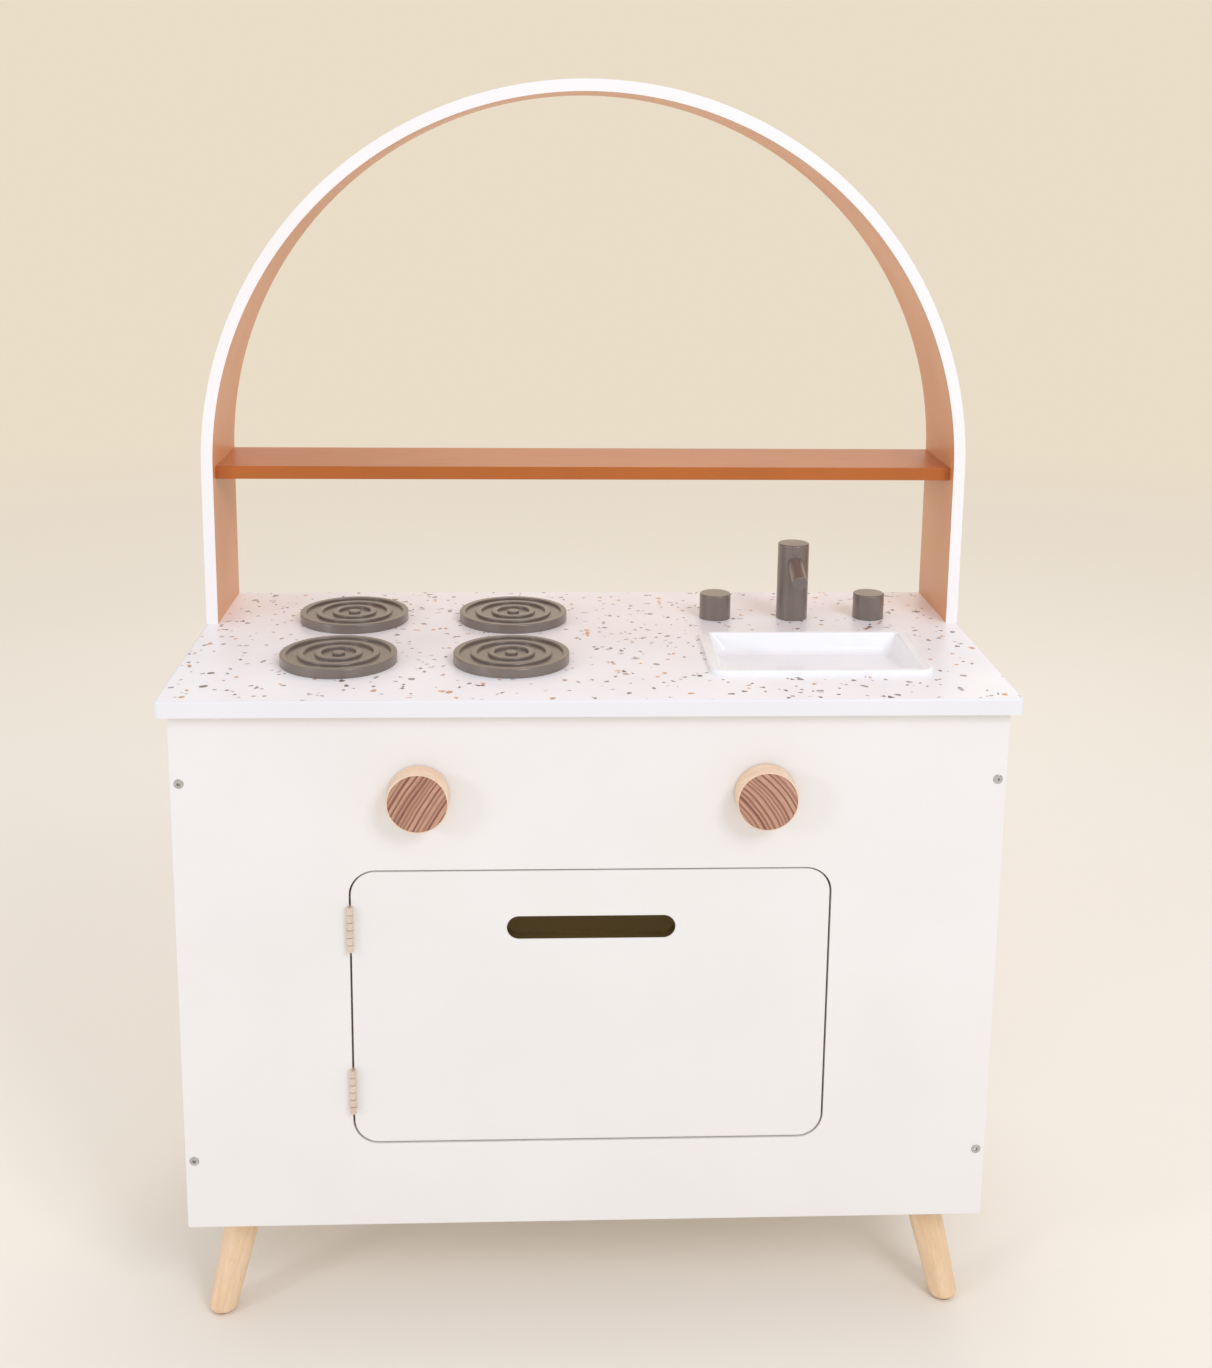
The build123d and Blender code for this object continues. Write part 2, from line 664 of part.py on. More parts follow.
def hinge_leaf(level, side, first_knuckle):
    """One leaf standing at its edge of the gap, with every second knuckle of the barrel."""
    leaf_x = hinge_axis_x + side * (door_gap - leaf_thickness) / 2
    inner_x = hinge_axis_x + side * (door_gap / 2 - leaf_thickness)
    tab_depth = leaf_front_y - hinge_axis_y
    knuckle_levels = [
        level + (index - (knuckle_count - 1) / 2) * knuckle_pitch
        for index in range(first_knuckle, knuckle_count, 2)
    ]
    with Locations((leaf_x, leaf_front_y + leaf_depth / 2, level)):
        Box(leaf_thickness, leaf_depth, hinge_height)
    with Locations(*[(leaf_x, leaf_front_y - tab_depth / 2, z) for z in knuckle_levels]):
        Box(leaf_thickness, tab_depth, knuckle_height)
    with Locations(*[(hinge_axis_x, hinge_axis_y, z) for z in knuckle_levels]):
        Cylinder(knuckle_radius, knuckle_height)
    with Locations((hinge_axis_x, hinge_axis_y, level)):
        Cylinder(hinge_pin_radius + running_fit, hinge_height, mode=Mode.SUBTRACT)
    screw_levels = [level + step * hinge_screw_spacing / 2 for step in (-1, 1)]
    with Locations(*[facing_x(-side, inner_x, hinge_screw_y, z) for z in screw_levels]):
        wood_screw_hole(2 * leaf_thickness, hinge_screw_radius, hinge_screw_head_radius)


for name, level in hinge_levels.items():
    with BuildPart() as frame_leaf:
        hinge_leaf(level, -1, 1)
    save(frame_leaf, f"hinge_frame_leaf_{name}")
    with BuildPart() as door_leaf:
        hinge_leaf(level, 1, 0)
    save(door_leaf, f"hinge_door_leaf_{name}")

with BuildPart() as hinge_pins:
    with Locations(*[(hinge_axis_x, hinge_axis_y, level) for level in hinge_levels.values()]):
        Cylinder(hinge_pin_radius, hinge_height)
save(hinge_pins, "hinge_pins")

for owner, side in (("frame", -1), ("door", 1)):
    with BuildPart() as hinge_screws:
        inner_x = hinge_axis_x + side * (door_gap / 2 - leaf_thickness)
        with Locations(*[facing_x(-side, inner_x, hinge_screw_y, z) for z in hinge_screw_levels]):
            wood_screw(hinge_screw_length, hinge_screw_radius, hinge_screw_head_radius)
    save(hinge_screws, f"hinge_{owner}_screws")

# ---- Control knobs -----------------------------------------------------------------------------
knob_back_y = panel_front_y - knob_washer_thickness - turning_gap
knob_front_y = panel_front_y - knob_reach
knob_head_y = panel_back_y + turning_gap + knob_washer_thickness
for name, x in knob_places.items():
    with BuildPart() as knob_body:
        with Locations(facing_front(knob_back_y, x, knob_z)):
            Cylinder(knob_radius, knob_back_y - knob_front_y, align=bottom_up)
        fillet(knob_body.faces().sort_by(Axis.Y)[0].edges(), radius=knob_edge_radius - seat_gap)
        with Locations(facing_front(knob_front_y, x, knob_z)):
            Hole(knob_face_radius + seat_gap, knob_face_thickness)
        with Locations(facing_back(knob_back_y, x, knob_z)):
            Hole(knob_bolt_radius + thread_fit, knob_bolt_bite + screw_tip_room)
    save(knob_body, f"control_knob_{name}")
    with BuildPart() as knob_face:
        with Locations(facing_front(knob_front_y, x, knob_z)):
            Cylinder(knob_face_radius, knob_face_thickness, align=top_down)
    save(knob_face, f"knob_face_{name}")
    with BuildPart() as knob_washers:
        with Locations(*[facing_front(y, x, knob_z) for y in (knob_back_y, panel_back_y + turning_gap)]):
            Cylinder(knob_washer_radius, knob_washer_thickness, align=top_down)
        with Locations(facing_back(knob_head_y, x, knob_z)):
            Hole(knob_bolt_radius + thread_fit, knob_head_y - knob_back_y + knob_washer_thickness)
    save(knob_washers, f"knob_washers_{name}")
    with BuildPart() as knob_bolt:
        with Locations(facing_back(knob_head_y, x, knob_z)):
            Cylinder(knob_bolt_head_radius, knob_bolt_head_height, align=bottom_up)
            Cylinder(knob_bolt_radius, knob_head_y - knob_back_y + knob_bolt_bite, align=top_down)
        fillet(knob_bolt.faces().sort_by(Axis.Y)[-1].edges(), radius=knob_edge_radius)
        with Locations(facing_back(knob_head_y + knob_bolt_head_height, x, knob_z)):
            cross_recess(2 * knob_bolt_radius, driver_slot_depth, top_down)
    save(knob_bolt, f"knob_bolt_{name}")

# ---- Hob ---------------------------------------------------------------------------------------
for name, (x, y) in burner_places.items():
    with BuildPart() as burner:
        with BuildSketch(Plane((x, y, worktop_top_z))):
            Circle(burner_radius)
        extrude(amount=burner_height - burner_groove)
        with BuildSketch(Plane((x, y, worktop_top_z + burner_height - burner_groove))):
            for index in range(burner_ring_count):
                ring_radius = burner_radius - index * burner_ring_pitch
                Circle(ring_radius)
                Circle(ring_radius - burner_ring_width, mode=Mode.SUBTRACT)
            Circle(burner_ring_width)
        extrude(amount=burner_groove)
        fillet(burner.faces().group_by(Axis.Z)[-1].edges(), radius=burner_edge_radius)
        with Locations(facing_down(worktop_top_z, x, y)):
            Hole(screw_radius + thread_fit, burner_screw_bite)
    save(burner, name)

with BuildPart() as burner_screws:
    with Locations(*[facing_down(carcass_top_z, x, y) for x, y in burner_places.values()]):
        wood_screw(worktop_thickness + burner_screw_bite - thread_fit)
save(burner_screws, "burner_screws")

# ---- Sink --------------------------------------------------------------------------------------
with BuildPart() as sink_hollow:
    for z, inset, corner in (
        (worktop_top_z + sink_lip_height, sink_wall, sink_bowl_corner - sink_wall),
        (sink_bottom_z + sink_wall, sink_wall + sink_floor_inset, sink_floor_corner),
    ):
        with BuildSketch(Plane((sink_x, sink_y, z))):
            RectangleRounded(sink_bowl_width - 2 * inset, sink_bowl_length - 2 * inset, corner)
    loft()
    fillet(sink_hollow.faces().sort_by(Axis.Z)[0].edges(), radius=sink_floor_radius)

with BuildPart() as sink_basin:
    with BuildSketch(Plane((sink_x, sink_y, worktop_top_z))):
        RectangleRounded(sink_width, sink_depth, sink_lip_corner)
    extrude(amount=sink_lip_height)
    fillet(sink_basin.faces().sort_by(Axis.Z)[-1].edges(), radius=sink_lip_edge)
    for z, inset, corner in (
        (worktop_top_z, 0, sink_bowl_corner),
        (sink_bottom_z, sink_floor_inset, sink_floor_corner + sink_wall),
    ):
        with BuildSketch(Plane((sink_x, sink_y, z))):
            RectangleRounded(sink_bowl_width - 2 * inset, sink_bowl_length - 2 * inset, corner)
    loft()
    fillet(sink_basin.faces().sort_by(Axis.Z)[0].edges(), radius=sink_floor_radius + sink_wall)
    add(sink_hollow.part, mode=Mode.SUBTRACT)
    lip_top = sink_basin.faces().filter_by(Axis.Z).sort_by(Axis.Z)[-1]
    fillet(lip_top.inner_wires().edges(), radius=sink_lip_edge)
save(sink_basin, "sink_basin")

# ---- Tap knobs and faucet ----------------------------------------------------------------------
tap_seat_z = worktop_top_z + turning_gap
tap_head_z = carcass_top_z - turning_gap


def tap_screw(x, bite):
    """Pan-head screw up through the worktop into a tap or the faucet."""
    with Locations((x, tap_y, tap_head_z)):
        Cylinder(tap_screw_head_radius, tap_screw_head_height, align=top_down)
        Cylinder(tap_screw_radius, tap_seat_z - tap_head_z + bite, align=bottom_up)
    with Locations((x, tap_y, tap_head_z - tap_screw_head_height)):
        cross_recess(tap_screw_head_radius, driver_slot_depth, bottom_up)


for name, x in tap_places.items():
    with BuildPart() as tap_knob:
        with Locations((x, tap_y, tap_seat_z)):
            Cylinder(tap_radius, tap_height - turning_gap, align=bottom_up)
        fillet(tap_knob.faces().sort_by(Axis.Z)[-1].edges(), radius=tap_edge_radius)
        with Locations(facing_down(tap_seat_z, x, tap_y)):
            Hole(tap_screw_radius + thread_fit, tap_screw_bite + screw_tip_room)
    save(tap_knob, f"tap_knob_{name}")
    with BuildPart() as tap_knob_screw:
        tap_screw(x, tap_screw_bite)
    save(tap_knob_screw, f"tap_screw_{name}")

spout_plane = Plane(
    origin=(sink_x, tap_y - faucet_radius, worktop_top_z + spout_height),
    x_dir=(1, 0, 0),
    z_dir=(0, -1, -tan(radians(spout_angle))),
)
with BuildPart() as faucet_column:
    with Locations((sink_x, tap_y, tap_seat_z)):
        Cylinder(faucet_radius, faucet_height - turning_gap, align=bottom_up)
    fillet(faucet_column.faces().sort_by(Axis.Z)[-1].edges(), radius=tap_edge_radius)
    with Locations(facing_down(tap_seat_z, sink_x, tap_y)):
        Hole(tap_screw_radius + thread_fit, tap_screw_bite + screw_tip_room)
    with Locations(spout_plane):
        Cylinder(spout_radius + thread_fit, 2 * spout_socket, mode=Mode.SUBTRACT)
save(faucet_column, "faucet_column")

with BuildPart() as faucet_spout:
    with Locations(spout_plane.offset(thread_fit - spout_socket)):
        Cylinder(spout_radius, spout_length + spout_socket, align=bottom_up)
    spout_mouth = faucet_spout.faces().sort_by(Axis(spout_plane.origin, spout_plane.z_dir))[-1]
    fillet(spout_mouth.edges(), radius=spout_edge_radius)
save(faucet_spout, "faucet_spout")

with BuildPart() as faucet_screw:
    tap_screw(sink_x, tap_screw_bite)
save(faucet_screw, "faucet_screw")

# ---- Legs --------------------------------------------------------------------------------------
leg_taper = (leg_top_radius - leg_foot_radius) / leg_length
for place, axis in leg_axes.items():
    with BuildPart() as leg:
        with Locations(axis):
            Cone(
                leg_foot_radius - leg_taper * leg_length,
                leg_top_radius + leg_taper * leg_length,
                3 * leg_length,
                align=(Align.CENTER, Align.CENTER, Align.CENTER),
            )
        split(bisect_by=Plane.XY.offset(glide_thickness), keep=Keep.TOP)
        split(bisect_by=Plane.XY.offset(carcass_bottom_z), keep=Keep.BOTTOM)
        fillet(leg.faces().sort_by(Axis.Z)[0].edges(), radius=leg_foot_edge_radius)
        with Locations(axis):
            Cylinder(hanger_bolt_radius + thread_fit, 2 * hanger_bolt_bite, mode=Mode.SUBTRACT)
    save(leg, f"leg_{place}")

with BuildPart() as leg_plates:
    for axis in leg_axes.values():
        x, y, z = axis.origin
        board(leg_plate_size, leg_plate_size, leg_plate_thickness, x, y, z)
        with Locations(axis):
            Cylinder(hanger_bolt_radius + thread_fit, 4 * leg_plate_thickness, mode=Mode.SUBTRACT)
    with Locations(*plate_screw_locations):
        wood_screw_hole(leg_plate_thickness)
save(leg_plates, "leg_plates")

with BuildPart() as leg_plate_screws:
    with Locations(*plate_screw_locations):
        wood_screw(plate_screw_length)
save(leg_plate_screws, "leg_plate_screws")

hanger_bolt_length = hanger_bolt_bite + leg_plate_thickness + hanger_bolt_rise
with BuildPart() as hanger_bolts:
    with Locations(*[axis.offset(thread_fit - hanger_bolt_bite) for axis in leg_axes.values()]):
        Cylinder(hanger_bolt_radius, hanger_bolt_length, align=bottom_up)
save(hanger_bolts, "hanger_bolts")

with BuildPart() as foot_glides:
    with Locations(*[(x, y, 0) for x, y, side, step in foot_places.values()]):
        Cylinder(glide_radius, glide_thickness, align=bottom_up)
save(foot_glides, "foot_glides")
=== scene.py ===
import json
import math
import random

import bmesh
import bpy
from mathutils import Matrix, Vector, noise


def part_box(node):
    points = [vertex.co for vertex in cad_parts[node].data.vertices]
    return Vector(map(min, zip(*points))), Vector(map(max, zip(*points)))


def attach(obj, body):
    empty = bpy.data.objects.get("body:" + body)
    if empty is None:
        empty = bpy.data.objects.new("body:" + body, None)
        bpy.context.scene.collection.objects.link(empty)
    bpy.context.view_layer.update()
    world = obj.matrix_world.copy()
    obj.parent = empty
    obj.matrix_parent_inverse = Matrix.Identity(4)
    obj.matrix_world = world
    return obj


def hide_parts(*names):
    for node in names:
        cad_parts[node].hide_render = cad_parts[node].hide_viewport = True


# Looks of a children's play kitchen: lacquered boards, a terrazzo worktop, turned beech legs and knobs.
# Lengths are metres in the kitchen's own frame, floor at z = 0, front toward -Y.

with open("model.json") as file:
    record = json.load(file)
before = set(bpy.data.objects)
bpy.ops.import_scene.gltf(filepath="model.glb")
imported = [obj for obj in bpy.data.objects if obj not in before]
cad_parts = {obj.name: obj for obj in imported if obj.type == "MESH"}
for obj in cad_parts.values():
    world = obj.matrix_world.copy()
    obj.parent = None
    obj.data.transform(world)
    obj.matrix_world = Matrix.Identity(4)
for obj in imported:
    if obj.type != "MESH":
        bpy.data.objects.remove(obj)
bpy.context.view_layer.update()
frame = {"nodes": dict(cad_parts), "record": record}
mm = 0.001

# ---- Places read from the frame ----------------------------------------------------------------
arch_low, arch_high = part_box("arch")
shelf_end_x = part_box("shelf")[1].x
door_front_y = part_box("oven_door")[0].y
arch_outer_radius = (arch_high.x - arch_low.x) / 2
arch_spring_z = arch_high.z - arch_outer_radius
lining_overlap = 0.35 * mm
arch_lining_radius = shelf_end_x + lining_overlap
openings = {opening["name"]: opening["box_m"] for opening in frame["record"]["physics"]["openings"]}
slot_low, slot_high = (Vector(corner) for corner in openings["door_slot"])
slot_middle = Vector(((slot_low.x + slot_high.x) / 2, 0.0, (slot_low.z + slot_high.z) / 2))
slot_half_length = 70.5 * mm
slot_half_height = 10.5 * mm
slot_edge_depth = 0.9 * mm
slot_edge_y = door_front_y + slot_edge_depth


# ---- Helpers -----------------------------------------------------------------------------------
def colour(code):
    """Linear colour from an sRGB hex value."""
    channels = [int(code[i : i + 2], 16) / 255 for i in (1, 3, 5)]
    return (*[c / 12.92 if c <= 0.04045 else ((c + 0.055) / 1.055) ** 2.4 for c in channels], 1.0)


def every(size):
    """Texture scale whose pattern repeats every so many millimetres."""
    return 1.0 / (size * mm)


def add_node(tree, kind, inputs=None, stops=None, **settings):
    """Add a node with its own settings; inputs go to sockets as values, nodes or other sockets."""
    node = tree.nodes.new(kind)
    for name, value in settings.items():
        setattr(node, name, value)
    for key, value in (inputs or {}).items():
        named = [s for s in node.inputs if s.enabled and s.name == key]
        socket = named[0] if named else node.inputs[key]
        if isinstance(value, bpy.types.Node):
            value = next(s for s in value.outputs if s.enabled)
        if isinstance(value, bpy.types.NodeSocket):
            tree.links.new(value, socket)
        else:
            socket.default_value = value
    for index, (position, shade) in enumerate(stops or []):
        elements = node.color_ramp.elements
        element = elements[index] if index < 2 else elements.new(position)
        element.position = position
        element.color = colour(shade)
    return node


def blank_material(name):
    """New material with its node tree, its shader and the place on the object in metres."""
    material = bpy.data.materials.new(name)
    material.use_nodes = True
    tree = material.node_tree
    place = add_node(tree, "ShaderNodeTexCoord").outputs["Object"]
    return material, tree, tree.nodes["Principled BSDF"], place


def set_shader(tree, shader, **inputs):
    """Give the shader constants or links by socket name, with _ for a space."""
    for name, value in inputs.items():
        socket = shader.inputs[name.replace("_", " ")]
        if isinstance(value, bpy.types.Node):
            value = next(s for s in value.outputs if s.enabled)
        if isinstance(value, bpy.types.NodeSocket):
            tree.links.new(value, socket)
        else:
            socket.default_value = value


def spread(tree, source, low, high, start=0.0, end=1.0):
    """Map a 0 to 1 pattern to the range low to high."""
    return add_node(
        tree,
        "ShaderNodeMapRange",
        {"Value": source, "From Min": start, "From Max": end, "To Min": low, "To Max": high},
    )


def blend(tree, factor, first, second):
    """Mix two colours by a factor."""
    return add_node(tree, "ShaderNodeMix", {"Factor": factor, "A": first, "B": second}, data_type="RGBA")


def mottled(tree, pattern, first, second, start=0.35, end=0.7, strength=1.0):
    """Two shades that pass into each other as a pattern goes from start to end."""
    return blend(tree, spread(tree, pattern, 0.0, strength, start, end), colour(first), colour(second))


def relief(tree, *layers):
    """Stack bump layers, each a height pattern and its depth in millimetres."""
    normal = None
    for height, depth in layers:
        inputs = {"Height": height, "Distance": depth * mm, "Strength": 1.0}
        if normal is not None:
            inputs["Normal"] = normal
        normal = add_node(tree, "ShaderNodeBump", inputs)
    return normal


def clouds(tree, place, size, detail=2.0, roughness=0.5, distortion=0.0):
    """Soft noise whose patches are about size millimetres across."""
    return add_node(
        tree,
        "ShaderNodeTexNoise",
        {"Vector": place, "Scale": every(size), "Detail": detail, "Roughness": roughness,
         "Distortion": distortion},
    )


# ---- Materials ---------------------------------------------------------------------------------
def inside_slot(tree, place):
    """Mask of the walls of the door's finger slot, behind its rounded front edge."""
    centred = add_node(tree, "ShaderNodeVectorMath", {0: place, 1: slot_middle}, operation="SUBTRACT")
    reach = add_node(tree, "ShaderNodeVectorMath", {0: centred}, operation="ABSOLUTE")
    axes = add_node(tree, "ShaderNodeSeparateXYZ", {"Vector": reach})
    depth = add_node(tree, "ShaderNodeSeparateXYZ", {"Vector": place}).outputs["Y"]
    along, up = axes.outputs["X"], axes.outputs["Z"]
    in_length = add_node(tree, "ShaderNodeMath", {0: along, 1: slot_half_length}, operation="LESS_THAN")
    in_height = add_node(tree, "ShaderNodeMath", {0: up, 1: slot_half_height}, operation="LESS_THAN")
    behind = add_node(tree, "ShaderNodeMath", {0: depth, 1: slot_edge_y}, operation="GREATER_THAN")
    in_face = add_node(tree, "ShaderNodeMath", {0: in_length, 1: in_height}, operation="MULTIPLY")
    return add_node(tree, "ShaderNodeMath", {0: in_face, 1: behind}, operation="MULTIPLY")


def sprayed_lacquer(name, tone, shade, roughness=0.36, slot_fibreboard_and_shade=False):
    """Satin polyurethane lacquer sprayed on sanded board: even colour, a faint orange-peel ripple
    that softens reflections, and broad patches that are a little duller than others. A slot routed
    after spraying shows its brown fibreboard walls, painted darker still as the shade inside the slot."""
    material, tree, shader, place = blank_material(name)
    patches = clouds(tree, place, 140, detail=3)
    ripple = clouds(tree, place, 3.2, detail=1)
    nibs = add_node(tree, "ShaderNodeTexVoronoi", {"Vector": place, "Scale": every(34)})
    nib_height = spread(tree, nibs, 1.0, 0.0, end=0.012)
    surface = mottled(tree, patches, tone, shade, strength=0.55)
    if slot_fibreboard_and_shade:
        # Slot walls: dark brown of bare fibreboard, deepened as painted shade for the dim slot.
        surface = blend(tree, inside_slot(tree, place), surface, colour("#4A3B22"))
    set_shader(
        tree,
        shader,
        Base_Color=surface,
        Roughness=spread(tree, patches, roughness - 0.04, roughness + 0.06, 0.3, 0.7),
        IOR=1.5,
        Coat_Weight=0.12,
        Coat_Roughness=0.2,
        Normal=relief(tree, (ripple, 0.03), (nib_height, 0.05)),
    )
    return material


def two_tone_lacquer(name, outside, outside_shade, lining, lining_shade):
    """Bent plywood sprayed white outside and on its edge, and terracotta on its hollow side, with a
    crisp masked line where the two coats meet."""
    material, tree, shader, place = blank_material(name)
    axes = add_node(tree, "ShaderNodeSeparateXYZ", {"Vector": place})
    rise = add_node(tree, "ShaderNodeMath", {0: axes.outputs["Z"], 1: arch_spring_z}, operation="SUBTRACT")
    above = add_node(tree, "ShaderNodeMath", {0: rise, 1: 0.0}, operation="MAXIMUM")
    spoke = add_node(tree, "ShaderNodeCombineXYZ", {"X": axes.outputs["X"], "Y": above})
    radius = add_node(tree, "ShaderNodeVectorMath", {0: spoke}, operation="LENGTH").outputs["Value"]
    is_lining = add_node(tree, "ShaderNodeMath", {0: radius, 1: arch_lining_radius}, operation="LESS_THAN")
    patches = clouds(tree, place, 140, detail=3)
    white = mottled(tree, patches, outside, outside_shade, strength=0.6)
    terracotta = mottled(tree, patches, lining, lining_shade, strength=0.6)
    ripple = clouds(tree, place, 3.2, detail=1)
    set_shader(
        tree,
        shader,
        Base_Color=blend(tree, is_lining, white, terracotta),
        Roughness=spread(tree, patches, 0.34, 0.44, 0.3, 0.7),
        IOR=1.5,
        Coat_Weight=0.15,
        Coat_Roughness=0.25,
        Normal=relief(tree, (ripple, 0.03)),
    )
    return material


def terracotta_lacquer(name):
    """Satin terracotta lacquer brushed on along the shelf board: a warm orange brown with faint
    long strokes that show where light grazes the top."""
    material, tree, shader, place = blank_material(name)
    along = add_node(tree, "ShaderNodeMapping", {"Vector": place, "Scale": (0.03, 1.0, 1.0)})
    strokes = clouds(tree, along, 1.6, detail=3)
    patches = clouds(tree, place, 110, detail=3)
    set_shader(
        tree,
        shader,
        Base_Color=mottled(tree, patches, "#BA610C", "#AE590E", strength=0.7),
        Roughness=spread(tree, strokes, 0.34, 0.48, 0.3, 0.7),
        IOR=1.5,
        Coat_Weight=0.3,
        Coat_Roughness=0.3,
        Normal=relief(tree, (strokes, 0.04)),
    )
    return material


def chip_layer(tree, place, size, share, gap):
    """Sharp-sided chips: random cells of a crazed pattern, each drawn in from its neighbours.
    Gives a mask and a random number for each chip's colour."""
    settings = {"voronoi_dimensions": "2D"}
    inputs = {"Vector": place, "Scale": every(size), "Randomness": 1.0}
    cells = add_node(tree, "ShaderNodeTexVoronoi", inputs, **settings)
    edges = add_node(tree, "ShaderNodeTexVoronoi", inputs, feature="DISTANCE_TO_EDGE", **settings)
    lots = add_node(tree, "ShaderNodeSeparateColor", {"Color": cells.outputs["Color"]})
    is_chosen = add_node(tree, "ShaderNodeMath", {0: lots.outputs["Red"], 1: share}, operation="LESS_THAN")
    shrink = spread(tree, lots.outputs["Green"], gap, gap + 0.12)
    distance = edges.outputs["Distance"]
    is_inside = add_node(tree, "ShaderNodeMath", {0: distance, 1: shrink}, operation="GREATER_THAN")
    mask = add_node(tree, "ShaderNodeMath", {0: is_chosen, 1: is_inside}, operation="MULTIPLY")
    return mask, lots.outputs["Blue"]


def terrazzo_laminate(name):
    """Printed melamine laminate with a satin seal: white ground with a faint grey cloud, and sparse
    angular chips from 2 to 5 mm in warm grey, brown, tan and apricot under a smooth sheet."""
    material, tree, shader, place = blank_material(name)
    bend = clouds(tree, place, 6, detail=1)
    sideways = {0: bend.outputs["Color"], 1: (0.5, 0.5, 0.5)}
    shift = add_node(tree, "ShaderNodeVectorMath", sideways, operation="SUBTRACT")
    ragged = add_node(
        tree,
        "ShaderNodeVectorMath",
        {0: shift, 1: (1.0 * mm, 1.0 * mm, 0.0), 2: place},
        operation="MULTIPLY_ADD",
    )
    surface = mottled(tree, clouds(tree, place, 60, detail=4), "#FCFAFA", "#F6F4F5")
    palette = [
        (0.0, "#857971"),
        (0.3, "#C9A184"),
        (0.46, "#DDA06C"),
        (0.6, "#A3968F"),
        (0.8, "#6F635C"),
        (0.9, "#CFCBCE"),
    ]
    for size, share, gap in ((5.6, 0.042, 0.1), (3.9, 0.04, 0.09)):
        mask, lot = chip_layer(tree, ragged, size, share, gap)
        chips = add_node(tree, "ShaderNodeValToRGB", {"Fac": lot}, stops=palette)
        chips.color_ramp.interpolation = "CONSTANT"
        surface = blend(tree, mask, surface, chips)
    smears = clouds(tree, place, 90, detail=4)
    stipple = clouds(tree, place, 0.9, detail=1)
    set_shader(
        tree,
        shader,
        Base_Color=surface,
        Roughness=spread(tree, smears, 0.3, 0.42, 0.3, 0.7),
        IOR=1.49,
        Normal=relief(tree, (stipple, 0.012)),
    )
    return material


def taupe_lacquer(name, turning):
    """Taupe lacquer with a little pearl over turned wood. Hob discs show rings left by the lathe,
    taps and faucet show the grain that runs up them, and edges catch a soft light."""
    material, tree, shader, place = blank_material(name)
    if turning is None:
        stretched = add_node(tree, "ShaderNodeMapping", {"Vector": place, "Scale": (1.0, 1.0, 0.045)})
    else:
        to_middle = (-turning.x, -turning.y, 0.0)
        centred = add_node(tree, "ShaderNodeMapping", {"Vector": place, "Location": to_middle})
        axes = add_node(tree, "ShaderNodeSeparateXYZ", {"Vector": centred})
        flat = add_node(tree, "ShaderNodeCombineXYZ", {"X": axes.outputs["X"], "Y": axes.outputs["Y"]})
        radius = add_node(tree, "ShaderNodeVectorMath", {0: flat}, operation="LENGTH").outputs["Value"]
        stretched = add_node(tree, "ShaderNodeCombineXYZ", {"X": radius, "Z": axes.outputs["Z"]})
    streaks = clouds(tree, stretched, 0.7, detail=3, roughness=0.6)
    patches = clouds(tree, place, 18, detail=3)
    shades = mottled(tree, streaks, "#7C7067", "#71665F", start=0.3, strength=0.6)
    worn = blend(tree, spread(tree, patches, 0.0, 0.3, 0.45, 0.75), shades, colour("#8A7F77"))
    set_shader(
        tree,
        shader,
        Base_Color=worn,
        Metallic=0.15,
        Roughness=spread(tree, streaks, 0.3, 0.4, 0.3, 0.7),
        IOR=1.5,
        Coat_Weight=0.5,
        Coat_Roughness=0.16,
        Normal=relief(tree, (streaks, 0.025)),
    )
    return material


def turned_beech(name, grain, light="#F6D9B6", dark="#E9C69D"):
    """Beech turned on a lathe under clear matt lacquer: pale honey wood with soft growth bands along
    the grain and the short darker flecks that mark beech."""
    material, tree, shader, place = blank_material(name)
    turn = Vector(grain).rotation_difference(Vector((0, 0, 1))).to_euler()
    upright = add_node(tree, "ShaderNodeMapping", {"Vector": place, "Rotation": tuple(turn)})
    long_grain = add_node(tree, "ShaderNodeMapping", {"Vector": upright, "Scale": (1.0, 1.0, 0.09)})
    bands = clouds(tree, long_grain, 7, detail=4, distortion=0.6)
    fibres = clouds(tree, long_grain, 0.8, detail=2)
    fleck_place = add_node(tree, "ShaderNodeMapping", {"Vector": upright, "Scale": (1.0, 0.5, 0.16)})
    flecks = add_node(tree, "ShaderNodeTexVoronoi", {"Vector": fleck_place, "Scale": every(1.5)})
    fleck_mask = spread(tree, flecks, 0.3, 0.0, 0.1, 0.24)
    wood = mottled(tree, bands, light, dark, start=0.32)
    fibrous = blend(tree, spread(tree, fibres, 0.0, 0.28, 0.4, 0.7), wood, colour("#D6B189"))
    set_shader(
        tree,
        shader,
        Base_Color=blend(tree, fleck_mask, fibrous, colour("#C69B70")),
        Roughness=spread(tree, fibres, 0.42, 0.56, 0.3, 0.7),
        IOR=1.5,
        Coat_Weight=0.1,
        Coat_Roughness=0.35,
        Normal=relief(tree, (fibres, 0.05), (fleck_mask, -0.03)),
    )
    return material


def brushed_larch(name):
    """Brown-stained larch wire-brushed across its face: the soft wood is worn back between the hard
    rings, so pale ridges and dark grooves follow the growth lines. The colour darkens with groove
    depth, partly stain gathered in the grooves and partly painted shade deepening down each groove."""
    material, tree, shader, place = blank_material(name)
    depth = add_node(tree, "ShaderNodeAttribute", attribute_name="groove").outputs["Fac"]
    dust = clouds(tree, place, 1.1, detail=4, roughness=0.65)
    stain = clouds(tree, place, 9, detail=3)
    # Ramp by groove depth: stain gathered in the grooves, and painted shade that deepens down each groove.
    wood = add_node(
        tree,
        "ShaderNodeValToRGB",
        {"Fac": depth},
        stops=[(0.0, "#CA9D83"), (0.35, "#AC7D69"), (0.7, "#8B5B4B"), (1.0, "#6C4033")],
    )
    stain_and_groove_shade = blend(tree, spread(tree, stain, 0.0, 0.35, 0.4, 0.7), wood, colour("#A27A5F"))
    pores = blend(tree, spread(tree, dust, 0.0, 0.4, 0.5, 0.8), stain_and_groove_shade, colour("#8A5A45"))
    set_shader(
        tree,
        shader,
        Base_Color=pores,
        Roughness=spread(tree, dust, 0.55, 0.75, 0.3, 0.7),
        IOR=1.48,
        Normal=relief(tree, (dust, 0.08)),
    )
    return material


